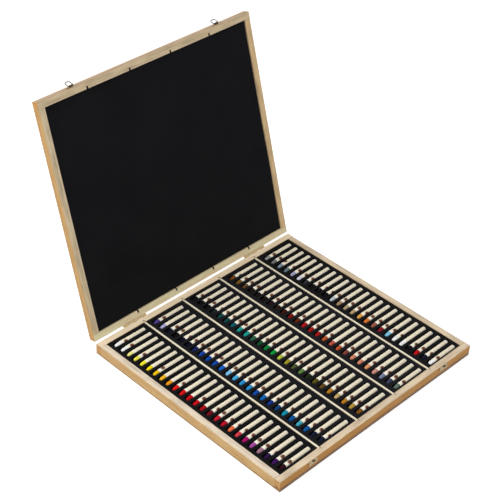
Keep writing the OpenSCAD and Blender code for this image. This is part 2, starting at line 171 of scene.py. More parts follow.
# The pastels of each tray, from the hinges to the latches
ROWS = {
    1: ("white white cream_yellow lemon primrose chrome_yellow gold_yellow saffron amber scarlet signal_red "
        "cherry cherry blood_red garnet carmine crimson coral rose magenta orchid mauve aubergine violet "
        "maroon"),
    2: ("iris lilac midnight black midnight midnight ink_blue cobalt azure azure bright_azure pale_sky sky "
        "lagoon lagoon azure cerulean ultramarine prussian turquoise gentian aqua gentian navy navy"),
    3: ("black black black slate_black deep_teal deep_teal teal sea_green sea_green grey_green pine green "
        "leaf lime olive_yellow moss sage dark_olive olive bronze ochre sand ochre khaki raw_sienna"),
    4: ("brown fawn cocoa black_brown black_brown black_brown plum sepia russet oxide_red chestnut claret "
        "vermilion vermilion terracotta brick terracotta clay salmon salmon peach pink_clay slate_violet "
        "charcoal slate_green"),
    5: ("warm_grey mid_grey cool_grey steel haze mist graphite black black black silver taupe tan pale_gold "
        "bright_gold copper dark_copper lake_red powder_blue white white black flame_red navy white"),
}

# Which way the round mark of each sleeve faces: f front, l low at the latch side, h nearer the hinges
# or . out of sight; the turns are in degrees, where 0 faces the hinges and 90 up
MARKS = {
    1: "ff.f..h..f..f.fhflffhflff",
    2: "f.fhlffhfhfhfffffffffffff",
    3: "ffflfffhfffffflffffhfffff",
    4: "fffflfffffhffff.ffflfffff",
    5: "ffhffffflffffffhffff.ffff",
}
MARK_TURNS = {"f": 134.0, "l": 163.0, "h": 92.0, ".": 285.0}
MARK_PLACE = 10.0  # mm from the sleeve's mouth
SLEEVE_TURN = 31.4  # mm on the paper's pattern once around a sleeve

# Scene-linear shades within a material
PORE_BROWN = (0.30, 0.17, 0.07, 1.0)
LAYER_BROWN = (0.58, 0.42, 0.20, 1.0)
# painted shade where a board's sides meet the floor
FOOT_SHADE_BROWN = (0.44, 0.31, 0.15, 1.0)
# painted shade in the empty divider notches
NOTCH_SHADE_BLACK = (0.012, 0.006, 0.003, 1.0)
WORN_FOAM = (0.016, 0.016, 0.018, 1.0)
# painted shade deep in the tray slots
SLOT_SHADE_FOAM = (0.0006, 0.0006, 0.0008, 1.0)


# ---------- sizes and colours that a user may change ----------

class WoodSettings(bpy.types.PropertyGroup):
    pale: bpy.props.FloatVectorProperty(
        name="Pale wood", description="Colour of the early wood", subtype="COLOR_GAMMA",
        size=3, min=0.0, max=1.0, default=(0.85, 0.70, 0.48))
    dark: bpy.props.FloatVectorProperty(
        name="Dark wood", description="Colour of the grain lines", subtype="COLOR_GAMMA",
        size=3, min=0.0, max=1.0, default=(0.77, 0.60, 0.37))
    # Rim faces' colour: partly the wood's own paleness from sanding, partly painted sheen of the light on them
    sanded_and_sheen: bpy.props.FloatVectorProperty(
        name="Sanded edge", description="Colour of the planed and sanded rim faces",
        subtype="COLOR_GAMMA", size=3, min=0.0, max=1.0, default=(0.90, 0.83, 0.73))
    ring_gap: bpy.props.FloatProperty(
        name="Ring gap", description="Distance between growth rings", subtype="DISTANCE",
        unit="LENGTH", min=0.0005, max=0.02, default=0.0035)


class FoamSettings(bpy.types.PropertyGroup):
    colour: bpy.props.FloatVectorProperty(
        name="Foam", description="Colour of the trays and the lid pad", subtype="COLOR_GAMMA",
        size=3, min=0.0, max=1.0, default=(0.090, 0.090, 0.100))
    edge_round: bpy.props.FloatProperty(
        name="Edge rounding", description="Radius of the foam's cut edges", subtype="DISTANCE",
        unit="LENGTH", min=0.0, max=0.002, default=0.0006)


class PastelSettings(bpy.types.PropertyGroup):
    paper: bpy.props.FloatVectorProperty(
        name="Sleeve paper", description="Colour of the paper sleeves", subtype="COLOR_GAMMA",
        size=3, min=0.0, max=1.0, default=(0.97, 0.93, 0.83))
    mark: bpy.props.FloatVectorProperty(
        name="Sleeve mark", description="Colour of the round mark on each sleeve", subtype="COLOR_GAMMA",
        size=3, min=0.0, max=1.0, default=(0.37, 0.17, 0.10))
    shuffle: bpy.props.IntProperty(
        name="Shuffle", description="Seed for how each pastel lies in its slot", default=7, min=0)


class MetalSettings(bpy.types.PropertyGroup):
    brass: bpy.props.FloatVectorProperty(
        name="Brass", description="Colour of the hinges and latches", subtype="COLOR_GAMMA",
        size=3, min=0.0, max=1.0, default=(0.78, 0.70, 0.54))
    # the wire's colour also paints shade on the keepers' and latch plates' parts that stand clear of the plate
    wire: bpy.props.FloatVectorProperty(
        name="Wire", description="Colour of the latch loops and the dark bent parts", subtype="COLOR_GAMMA",
        size=3, min=0.0, max=1.0, default=(0.24, 0.20, 0.17))


class StageSettings(bpy.types.PropertyGroup):
    azimuth: bpy.props.FloatProperty(
        name="Azimuth", description="Camera's turn about the case", default=math.radians(-46.0),
        subtype="ANGLE")
    elevation: bpy.props.FloatProperty(
        name="Elevation", description="Camera's height as an angle", default=math.radians(36.55),
        subtype="ANGLE")
    roll: bpy.props.FloatProperty(
        name="Roll", description="Camera's tilt about its own line of sight",
        default=math.radians(2.57), subtype="ANGLE")
    distance: bpy.props.FloatProperty(
        name="Distance", description="Distance from the case to the camera", default=2.3486,
        subtype="DISTANCE", unit="LENGTH")
    aside: bpy.props.FloatVectorProperty(
        name="Aside", description="Camera's move to its right and up", size=2,
        default=(-0.09606, 0.2020), subtype="XYZ_LENGTH", unit="LENGTH")
    lens: bpy.props.FloatProperty(
        name="Lens", description="Focal length on a 36 mm frame, in millimetres", default=100.075)
    shift: bpy.props.FloatVectorProperty(
        name="Shift", description="Lens shift as a share of the frame", size=2,
        default=(0.0462, -0.03144))


# ---------- small helpers ----------

def to_linear(colour):
    """Display colour to scene-linear: the usual two-part curve, for each channel."""
    c = np.asarray(colour, float)
    return np.where(c <= 0.04045, c / 12.92, ((c + 0.055) / 1.055) ** 2.4)


def rgba(colour):
    """Display colour as a scene-linear one without transparency."""
    return (*[float(c) for c in to_linear(colour)], 1.0)


def grey(level):
    """Scene-linear grey without transparency."""
    return (level, level, level, 1.0)


def add_mesh(name, points, faces, smooth=True):
    """A new mesh object at the origin from an array of points and a list of faces."""
    mesh = bpy.data.meshes.new(name)
    mesh.from_pydata(np.asarray(points, float).reshape(-1, 3).tolist(), [], faces)
    mesh.update()
    if smooth:
        mesh.polygons.foreach_set("use_smooth", np.ones(len(mesh.polygons), bool))
        mesh.set_sharp_from_angle(angle=math.radians(50))
    piece = bpy.data.objects.new(name, mesh)
    bpy.context.scene.collection.objects.link(piece)
    return piece


def read_all(items, name, width=1, kind=float):
    """One property of every item of a mesh's collection, as an array."""
    values = np.empty(len(items) * width, kind)
    items.foreach_get(name, values)
    return values.reshape(-1, width) if width > 1 else values


def grid_faces(rows, columns, around=False):
    """Quads of a rows by columns grid of points; around joins the last column to the first."""
    r, c = np.meshgrid(np.arange(rows - 1), np.arange(columns if around else columns - 1), indexing="ij")
    a = r * columns + c
    b = r * columns + (c + 1) % columns
    return np.stack([a, b, b + columns, a + columns], -1).reshape(-1, 4)


def dress(piece, material):
    """Gives a piece or a CAD node its only material."""
    piece.data.materials.clear()
    piece.data.materials.append(material)


def finish_piece(piece, body, replaced, material):
    """Rides, hides what the piece stands for and gives it its material."""
    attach(piece, body)
    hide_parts(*replaced)
    dress(piece, material)


class Nodes:
    """Adds nodes to a tree in one line each."""

    def __init__(self, tree):
        self.tree = tree

    def feed(self, socket, value):
        """Links the socket to another one, or sets it to a plain value."""
        if isinstance(value, bpy.types.NodeSocket):
            self.tree.links.new(value, socket)
        else:
            socket.default_value = value

    def spot(self):
        """The place on the object."""
        return self.add("ShaderNodeTexCoord").outputs["Object"]

    def add(self, kind, inputs=None, **settings):
        node = self.tree.nodes.new(kind)
        for key, value in settings.items():
            setattr(node, key, value)
        for key, value in (inputs or {}).items():
            self.feed(node.inputs[key], value)
        return node

    def math(self, operation, a, b=0.0, clamp=False):
        return self.add("ShaderNodeMath", {0: a, 1: b}, operation=operation, use_clamp=clamp).outputs[0]

    def plus(self, a, b):
        return self.math("ADD", a, b)

    def minus(self, a, b):
        return self.math("SUBTRACT", a, b)

    def times(self, a, b):
        return self.math("MULTIPLY", a, b)

    def size(self, value):
        return self.math("ABSOLUTE", value)

    def mix(self, factor, a, b, blend="MIX"):
        inputs = {0: factor, 6: a, 7: b}  # the sockets of its colours
        return self.add("ShaderNodeMix", inputs, data_type="RGBA", blend_type=blend).outputs[2]

    def ramp(self, value, low, high, to_low=0.0, to_high=1.0):
        """Goes from to_low to to_high while the value goes from low to high, and stays there."""
        inputs = {0: value, 1: low, 2: high, 3: to_low, 4: to_high}
        return self.add("ShaderNodeMapRange", inputs).outputs[0]

    def fade(self, value, low, high, start=1.0):
        """Falls from start to nothing while the value goes from low to high."""
        return self.ramp(value, low, high, start, 0.0)

    def split(self, vector):
        """The vector's three coordinates."""
        return self.add("ShaderNodeSeparateXYZ", {0: vector}).outputs

    def place(self, vector, **settings):
        """The vector after a Mapping node with that Location, Rotation or Scale."""
        return self.add("ShaderNodeMapping", {"Vector": vector, **settings}).outputs[0]

    def noise(self, vector, scale, detail, roughness=0.5):
        inputs = {"Vector": vector, "Scale": scale, "Detail": detail, "Roughness": roughness}
        return self.add("ShaderNodeTexNoise", inputs).outputs[0]

    def stretched_noise(self, vector, scales, detail, roughness=0.5):
        """Noise with its own scale along each axis."""
        return self.noise(self.place(vector, Scale=scales), 1.0, detail, roughness)

    def bump(self, height, strength, depth=0.2 * MM):
        inputs = {"Height": height, "Strength": strength, "Distance": depth}
        return self.add("ShaderNodeBump", inputs).outputs[0]


def new_group(name, inputs, outputs):
    """An empty shader group with named sockets; returns its Nodes helper, its inputs and its outputs."""
    group = bpy.data.node_groups.new(name, "ShaderNodeTree")
    for label, kind, default in inputs:
        socket = group.interface.new_socket(name=label, in_out="INPUT", socket_type=kind)
        if default is not None:
            socket.default_value = default
    for label, kind in outputs:
        group.interface.new_socket(name=label, in_out="OUTPUT", socket_type=kind)
    nodes = Nodes(group)
    return nodes, nodes.add("NodeGroupInput").outputs, nodes.add("NodeGroupOutput").inputs


def shared(name, build):
    """The shader group of that name, built when it is first used."""
    return bpy.data.node_groups.get(name) or build()


def new_material(name):
    """An empty node material; returns it, its Nodes helper and its Principled shader."""
    material = bpy.data.materials.new(name)
    material.use_nodes = True
    nodes = Nodes(material.node_tree)
    nodes.tree.nodes.clear()
    shader = nodes.add("ShaderNodeBsdfPrincipled")
    nodes.add("ShaderNodeOutputMaterial", {"Surface": shader.outputs[0]})
    return material, nodes, shader


def set_shader(nodes, shader, **sockets):
    """Feeds the shader's sockets, given by their labels in lower case with underscores."""
    for label, value in sockets.items():
        nodes.feed(shader.inputs[label.replace("_", " ").title().replace("Ior", "IOR")], value)


# ---------- shared shader groups ----------

def wood_grain_group():
    """Boards' figure: growth rings as warped bands along the local X axis, with fine pores."""
    nodes, given, out = new_group(
        "wood_grain",
        [("Vector", "NodeSocketVector", None), ("Pale", "NodeSocketColor", None),
         ("Dark", "NodeSocketColor", None), ("Ring gap", "NodeSocketFloat", 3.5 * MM)],
        [("Color", "NodeSocketColor"), ("Roughness", "NodeSocketFloat"), ("Height", "NodeSocketFloat"),
         ("Figure", "NodeSocketFloat")])
    vector = given["Vector"]
    bend = nodes.times(nodes.stretched_noise(vector, (5.0, 34.0, 34.0), 2.0), 16 * MM)
    streaks = nodes.ramp(nodes.stretched_noise(vector, (9.0, 260.0, 260.0), 4.0, 0.6), 0.36, 0.68)
    pores = nodes.ramp(nodes.stretched_noise(vector, (24.0, 1500.0, 1500.0), 2.0), 0.62, 0.78)
    blotch = nodes.ramp(nodes.stretched_noise(vector, (26.0, 90.0, 90.0), 2.0), 0.35, 0.65, -0.22, 0.30)
    axes = nodes.split(vector)
    across = nodes.plus(axes[1], nodes.times(axes[2], 0.55))
    ring = nodes.math("FRACT", nodes.math("DIVIDE", nodes.plus(across, bend), given["Ring gap"]))
    late_wood = nodes.math("POWER", ring, 2.2)
    figure = nodes.plus(nodes.times(late_wood, 0.40), nodes.times(streaks, 0.45))
    figure = nodes.math("ADD", figure, blotch, clamp=True)
    tone = nodes.mix(figure, given["Pale"], given["Dark"])
    nodes.feed(out["Color"], nodes.mix(nodes.times(pores, 0.18), tone, PORE_BROWN))
    nodes.feed(out["Roughness"], nodes.ramp(figure, 0.0, 1.0, 0.36, 0.50))
    nodes.feed(out["Height"], nodes.minus(nodes.times(late_wood, -0.4), nodes.times(pores, 0.6)))
    nodes.feed(out["Figure"], figure)
    return nodes.tree


def foam_cells_group():
    """Closed-cell foam: small pits, a slow change of tone and a little lint."""
    nodes, given, out = new_group(
        "foam_cells",
        [("Vector", "NodeSocketVector", None), ("Colour", "NodeSocketColor", None)],
        [("Color", "NodeSocketColor"), ("Roughness", "NodeSocketFloat"), ("Height", "NodeSocketFloat")])
    vector = given["Vector"]
    cells = nodes.add("ShaderNodeTexVoronoi", {"Vector": vector, "Scale": 1500.0}).outputs[0]
    worn = nodes.ramp(nodes.noise(vector, 14.0, 3.0), 0.3, 0.7, 0.0, 0.35)
    lint = nodes.ramp(nodes.noise(vector, 700.0, 1.0), 0.66, 0.8, 0.0, 0.08)
    tone = nodes.mix(worn, given["Colour"], WORN_FOAM)
    nodes.feed(out["Color"], nodes.mix(lint, tone, grey(0.10)))
    nodes.feed(out["Roughness"], nodes.ramp(cells, 0.0, 0.7, 0.95, 0.8))
    nodes.feed(out["Height"], cells)
    return nodes.tree


# ---------- materials ----------

def wood_material(name, look, turn, offset, tints, inner_side, reach, edge, foot, calm, bare):
    """Varnished board. Turn and offset bring its length onto the grain's X axis and its sanded
    rim faces onto Z. The tints are those of its sides, ends, rim faces and inner wall; the inner
    wall is the side that faces inner_side along Y, or both sides where that is zero. The rim faces'
    pale colour is partly the wood's own paleness from sanding and partly painted sheen, and the base
    rails' dark inner walls are painted shade. Reach is half of the board's length; the notches within
    it get painted shade. Edge is the place along Y of a rim's inner edge, along which runs a painted
    highlight; foot says whether its sides get painted shade near the floor; calm evens out the figure
    of a sanded face; and bare is how far from the middle a divider is pale, beyond which its ends in
    the grooves get painted shade."""
    material, nodes, shader = new_material(name)
    spot = nodes.spot()
    placed = nodes.place(spot, Rotation=turn, Location=offset)
    normal = nodes.split(nodes.place(spot.node.outputs["Normal"], Rotation=turn))
    place = nodes.split(spot)
    grain = nodes.add(
        "ShaderNodeGroup",
        {"Vector": placed, "Pale": rgba(look.pale), "Dark": rgba(look.dark), "Ring gap": look.ring_gap},
        node_tree=shared("wood_grain", wood_grain_group)).outputs
    side_tint, end_tint, rim_tint, inner_tint = [np.array(tint) for tint in tints]
    sanded_and_sheen = np.array(look.sanded_and_sheen)

    # Sides, and ends with the layers of their end grain
    end = nodes.ramp(nodes.size(normal[0]), 0.75, 0.95)
    tint = nodes.mix(end, rgba(side_tint), rgba(end_tint))
    tone = nodes.mix(1.0, grain["Color"], tint, "MULTIPLY")
    layers = nodes.ramp(nodes.stretched_noise(placed, (1.0, 420.0, 90.0), 1.0), 0.5, 0.62, 0.0, 0.55)
    tone = nodes.mix(nodes.times(end, layers), tone, LAYER_BROWN, "MULTIPLY")
    # Painted shade: the sides darken towards the floor
    if foot:
        tone = nodes.mix(nodes.fade(place[2], 3.5 * MM, 9.0 * MM), tone, FOOT_SHADE_BROWN, "MULTIPLY")

    # Planed rim, with a painted highlight along a rim's inner edge and painted shade on a divider's ends in their
    # grooves
    # The rim colour is partly the wood's own paleness from sanding and partly painted sheen
    rim_colour = sanded_and_sheen * rim_tint
    light = np.clip(rim_colour * (1.0 + 0.09 * calm), 0.0, 1.0)
    planed = nodes.mix(grain["Figure"], rgba(light), rgba(rim_colour * (1.0 - 0.20 * calm)))
    # Painted highlight: a lighter band just inside the rim's inner edge
    if edge is not None:
        inset = nodes.times(nodes.minus(edge + offset[1], nodes.split(placed)[1]), inner_side)
        edge_highlight = rgba(np.clip(rim_colour * (1.06, 1.05, 1.10), 0.0, 0.97))
        planed = nodes.mix(nodes.fade(inset, 2.0 * MM, 2.8 * MM, 0.75), planed, edge_highlight)
    # Painted shade: a divider's ends inside the grooves are darker
    if bare is not None:
        groove_shade = nodes.ramp(nodes.size(place[1]), bare, bare + 0.3 * MM)
        planed = nodes.mix(groove_shade, planed, rgba(sanded_and_sheen * 0.955))
    tone = nodes.mix(nodes.ramp(nodes.size(normal[2]), 0.6, 0.9, 0.0, 0.85), tone, planed)

    # Inner wall, with painted shade on the base rails' inner walls, and painted shade on the walls of the notches
    inward = nodes.times(normal[1], inner_side) if inner_side else nodes.size(normal[1])
    tone = nodes.mix(nodes.ramp(inward, 0.6, 0.9), tone, rgba(sanded_and_sheen * inner_tint))
    # Painted shade: the walls of the notches go near black
    within = nodes.fade(nodes.size(place[0]), reach - 2 * MM, reach - 1 * MM)
    tone = nodes.mix(nodes.times(end, within), tone, NOTCH_SHADE_BLACK)
    set_shader(nodes, shader, base_color=tone, roughness=grain["Roughness"], specular_ior_level=0.25,
               coat_weight=0.12, coat_roughness=0.30, normal=nodes.bump(grain["Height"], 0.14))
    return material


def foam_material(name, look, shade=1.0, deep=None):
    """Matte foam, its colour times shade, a painted light level; below the second height in deep it
    fades, and at the first it is near black, as painted shade in the slots."""
    material, nodes, shader = new_material(name)
    spot = nodes.spot()
    foam = nodes.add("ShaderNodeGroup", {"Vector": spot, "Colour": rgba(np.array(look.colour) * shade)},
                     node_tree=shared("foam_cells", foam_cells_group)).outputs
    tone = foam["Color"]
    if deep:
        # Painted shade: below the foam's top the slots fade to near black
        tone = nodes.mix(nodes.fade(nodes.split(spot)[2], *deep, 0.95), tone, SLOT_SHADE_FOAM)
    set_shader(nodes, shader, base_color=tone, roughness=foam["Roughness"], specular_ior_level=0.05,
               normal=nodes.bump(foam["Height"], 0.35))
    return material


def pigment_material(name):
    """Waxy pigment in the colour of each pastel, with faint crumbs."""
    material, nodes, shader = new_material(name)
    spot = nodes.spot()
    own = nodes.add("ShaderNodeAttribute", attribute_name="pigment").outputs["Color"]
    crumbs = nodes.noise(spot, 900.0, 3.0)
    tone = nodes.mix(0.22, own, nodes.mix(crumbs, grey(0.55), grey(1.0)), "MULTIPLY")
    set_shader(nodes, shader, base_color=tone, roughness=nodes.ramp(crumbs, 0.3, 0.7, 0.45, 0.65),
               specular_ior_level=0.06, normal=nodes.bump(crumbs, 0.2, 0.3 * MM))
    return material


def paper_material(name, look):
    """Paper sleeve with a whiter front band, a round mark, fine rules and a whiter folded end.
    Its UV map runs along the sleeve in units of 100 mm and once around it. The lengths below are
    in millimetres: along from the sleeve's mouth, around from the mark's middle."""
    material, nodes, shader = new_material(name)
    spot = nodes.spot()
    wrap = nodes.split(nodes.add("ShaderNodeUVMap", uv_map="wrap").outputs[0])
    along = nodes.times(wrap[0], 100.0)
    around = nodes.times(nodes.minus(nodes.math("FRACT", wrap[1]), 0.5), SLEEVE_TURN)
    fibre = nodes.noise(spot, 800.0, 2.0)
    paper = nodes.mix(nodes.times(fibre, 0.12), rgba(look.paper), rgba((0.80, 0.73, 0.56)))
    paper = nodes.mix(nodes.fade(along, 4.2, 5.4, 0.8), paper, rgba((0.98, 0.96, 0.90)))
    paper = nodes.mix(nodes.ramp(along, 51.0, 52.5, 0.0, 0.7), paper, rgba((0.99, 0.97, 0.93)))

    # Round mark with a paler ring
    ahead = nodes.minus(along, MARK_PLACE)
    out = nodes.math("SQRT", nodes.plus(nodes.times(ahead, ahead), nodes.times(around, around)))
    ring = nodes.times(nodes.ramp(out, 2.4, 2.7), nodes.fade(out, 3.0, 3.3, 0.25))
    mark = nodes.mix(ring, rgba(look.mark), rgba(look.paper))
    paper = nodes.mix(nodes.fade(out, 3.5, 4.6), paper, mark)

    # Fine rules on the mark's side
    line = nodes.size(nodes.minus(nodes.math("PINGPONG", around, 1.5), 0.75))
    near = nodes.fade(nodes.size(around), 3.6, 3.8)
    span = nodes.times(nodes.ramp(along, 17.0, 17.4), nodes.fade(along, 44.0, 44.4))
    rules = nodes.times(nodes.times(nodes.fade(line, 0.05, 0.2, 0.16), near), span)
    paper = nodes.mix(rules, paper, rgba((0.40, 0.30, 0.22)))
    set_shader(nodes, shader, base_color=paper, roughness=nodes.ramp(fibre, 0.3, 0.7, 0.55, 0.7),
               specular_ior_level=0.2, normal=nodes.bump(fibre, 0.06))
    return material


def brass_material(name, look, dull=1.0, turn=None, wall=0.0):
    """Lacquered brass, duller in its low spots. With a turn that brings the plate's face onto Y,
    the parts that stand clear of the plate on the wall at that height get the wire's dark colour as
    painted shade."""
    material, nodes, shader = new_material(name)
    spot = nodes.spot()
    tarnish = nodes.noise(spot, 260.0, 4.0)
    brass = np.array(look.brass) * dull
    dark = rgba(brass * (0.66, 0.60, 0.52))
    tone = nodes.mix(nodes.ramp(tarnish, 0.4, 0.75, 0.0, 0.35), rgba(brass), dark)
    if turn is not None:
        # Painted shade: the parts standing clear of the plate take the wire's dark colour
        depth = nodes.split(nodes.place(spot, Rotation=turn))[1]
        tone = nodes.mix(nodes.fade(depth, wall - 1.3 * MM, wall - 0.9 * MM, 0.9), tone, rgba(look.wire))
    set_shader(nodes, shader, base_color=tone, metallic=1.0,
               roughness=nodes.ramp(tarnish, 0.3, 0.7, 0.26, 0.46))
    return material


def wire_material(name, look):
    """Darkened steel wire with brighter rubbed spots."""
    material, nodes, shader = new_material(name)
    spot = nodes.spot()
    rubbed = nodes.noise(spot, 420.0, 2.0)
    bright = rgba((0.60, 0.56, 0.50))
    tone = nodes.mix(nodes.ramp(rubbed, 0.5, 0.7, 0.0, 0.6), rgba(look.wire), bright)
    set_shader(nodes, shader, base_color=tone, metallic=1.0,
               roughness=nodes.ramp(rubbed, 0.3, 0.7, 0.45, 0.3))
    return material


# ---------- surfaces ----------

def revolve_many(profile, starts, slopes, segments):
    """Turned forms, all of one profile, closed by a pole at each end. A point is
    start + distance * (X + slope * Y) + radius * (cos(a) * Y + sin(a) * Z), where the profile
    gives distance and radius. Returns the points, the faces and the number of points of a form."""
    angle = np.linspace(0.0, 2.0 * np.pi, segments, endpoint=False)
    distance, radius = profile[1:-1, :1], profile[1:-1, 1:]
    rings = np.stack([distance + 0.0 * angle, radius * np.cos(angle), radius * np.sin(angle)], -1)
    poles = np.stack([profile[[0, -1], 0], np.zeros(2), np.zeros(2)], -1)
    form = np.concatenate([rings.reshape(-1, 3), poles])
    points = np.repeat(form[None], len(starts), 0)
    points[..., 1] += points[..., 0] * slopes[:, None]
    points += starts[:, None, :]

    pole = len(rings) * segments
    first = np.arange(segments)
    after = (first + 1) % segments
    last = pole - segments
    nose = np.stack([np.full(segments, pole), after, first], -1)
    tail = np.stack([np.full(segments, pole + 1), last + first, last + after], -1)
    side = grid_faces(len(rings), segments, around=True)
    each = pole + 2
    faces = []
    for shift in each * np.arange(len(starts)):
        faces += (side + shift).tolist() + (nose + shift).tolist() + (tail + shift).tolist()
    return points, faces, each


def edge_steps(depth, top_radius, foot_radius):
    """One cut edge as (distance past the wall, drop): a quarter round, a wall that leans by a hair
    and a hollow foot."""
    lean = 1.0 - math.sqrt(0.5)
    hair = 0.05 * MM
    return [(-top_radius, 0.0), (-lean * top_radius, lean * top_radius), (0.0, top_radius),
            (hair, depth - foot_radius), (hair + lean * foot_radius, depth - lean * foot_radius),
            (hair + foot_radius, depth)]


def rim_steps(height, radius):
    """An outer edge as (distance past the wall, drop): a quarter round and the wall below it."""
    return edge_steps(height, radius, 0.0)[:4]


def block_surface(x, y, drop, top, bottom, wave):
    """A block whose top is a grid over x and y that falls by drop, down to its foot at the rim.
    The point at row r and column c is (x[c], y[r], top - drop[r, c] + wave(x, y)); the rim closes
    underneath with long quads."""
    across, along = np.meshgrid(x, y)
    height = np.maximum(top - drop, bottom)
    height = np.where(height > bottom, height + wave(across, along), bottom)
    points = np.stack([across, along, height], -1)
    rows, columns = across.shape
    last = columns - 1
    faces = grid_faces(rows, columns).tolist()
    for r in range(1, rows - 2):
        faces.append([r * columns, (r + 1) * columns, (r + 1) * columns + last, r * columns + last])
    foot = (rows - 2) * columns
    faces.append([columns, columns + last, *range(last, -1, -1)])
    faces.append([foot, *range(foot + columns, foot + 2 * columns), foot + last])
    return points.reshape(-1, 3), faces


def turn_lid(points, way):
    """Turns points about the hinge line by the lid's angle: way is 1 to open it and -1 to shut it."""
    c, s = math.cos(LID_OPEN), math.sin(LID_OPEN) * way
    dy, dz = points[..., 1] - HINGE_AXIS.y, points[..., 2] - HINGE_AXIS.z
    turned = np.array(points, float)
    turned[..., 1] = HINGE_AXIS.y + dy * c + dz * s
    turned[..., 2] = HINGE_AXIS.z - dy * s + dz * c
    return turned


def turned_face(node, turn):
    """The highest place along Y of a CAD node that is turned about the origin."""
    matrix = Euler(turn).to_matrix()
    return max((matrix @ v.co).y for v in frame["nodes"][node].data.vertices)


def slots(tray):
    """Radius of a tray's sleeves, and the places of their middles along Y from the hinges on."""
    low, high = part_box(f"wrappers_{tray}")
    radius = (high.z - low.z) / 2
    count = len(ROWS[tray].split())
    pitch = (high.y - low.y - 2 * radius) / (count - 1)
    return radius, high.y - radius - pitch * np.arange(count)


# ---------- operators ----------

class CASE_OT_wood(bpy.types.Operator):
    """Gives every board its own varnished wood, with the grain along its length"""
    bl_idname = "pastel_case.wood"
    bl_label = "Wooden Boards"

    # How far apart in the wood one board and the next are cut, in metres
    cut_step = (0.37, 0.0113, 0.0071)

    def execute(self, context):
        plain = (1.0, 1.0, 1.0)
        cut = (0.96, 0.90, 0.80)
        # painted shade on the base rails' inner walls, which face into the compartments
        shaded_inner_wall = (0.36, 0.31, 0.24)
        flat, turned = (0, 0, 0), (0, 0, math.pi / 2)
        open_flat, open_turned = (LID_OPEN, 0, 0), (LID_OPEN, 0, math.pi / 2)
        strip = (turned, 0, (plain, cut, (1.15, 1.175, 1.19), (1.0, 1.0, 0.96)))
        # Turn and inner side of each board, and the tints of its sides, ends, rim faces and inner wall
        boards = {
            "base_front_rail": (flat, 1, ((0.97, 0.82, 0.22), (0.98, 0.92, 0.80), (0.96, 0.97, 0.965), shaded_inner_wall)),
            "base_back_rail": (flat, -1, (plain, cut, (1.10, 1.085, 1.08), shaded_inner_wall)),
            "base_left_rail": (turned, 1, ((0.98, 0.97, 0.91), cut, (0.995, 1.015, 1.05), shaded_inner_wall)),
            "base_right_rail": (turned, -1, (plain, cut, (0.945, 0.94, 0.92), shaded_inner_wall)),
            # the panel's darker edges and ends are partly the plywood's own edge and partly painted shade along
            # the foot
            "base_panel": (flat, 0, (plain, (0.78, 0.75, 0.64), plain, (0.38, 0.24, 0.03))),
            "divider_1": strip,
            "divider_2": strip,
            "divider_3": strip,
            "divider_4": strip,
            # the lid front rail's greyish side tint is painted sheen
            "lid_front_rail": (open_flat, 1, ((0.82, 0.83, 0.94), (0.95, 0.84, 0.60), (1.035, 1.0, 0.92),
                                              (0.90, 0.88, 0.82))),
            "lid_back_rail": (open_flat, -1, (plain, cut, (1.19, 1.155, 1.095), (0.95, 0.93, 0.86))),
            "lid_left_rail": (open_turned, 1, ((0.925, 0.885, 0.77), cut, (1.03, 1.02, 0.965),
                                               (0.90, 0.88, 0.82))),
            "lid_right_rail": (open_turned, -1, ((1.0, 0.98, 0.92), cut, (1.02, 0.96, 0.83),
                                                 (0.90, 0.85, 0.76))),
            "lid_panel": (open_flat, 0, (plain, (0.97, 0.93, 0.85), (0.98, 0.97, 0.93), plain)),
        }
        for number, (node, (turn, inner_side, tints)) in enumerate(boards.items()):
            low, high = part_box(node)
            lengthways = turn[2] == 0
            divider = node.startswith("divider")
            dress(frame["nodes"][node], wood_material(
                node + "_wood", context.scene.case_wood, turn,
                offset=tuple(step * number for step in self.cut_step),
                tints=tints, inner_side=inner_side,
                reach=(high.x - low.x) / 2 if lengthways else 0.0,
                edge=turned_face(node, turn) if node in ("lid_front_rail", "lid_left_rail") else None,
                foot=node == "base_front_rail",
                calm=0.45 if divider or "panel" in node or "back" in node else 1.0,
                bare=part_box("base_back_rail")[0].y if divider else None))
        return {"FINISHED"}


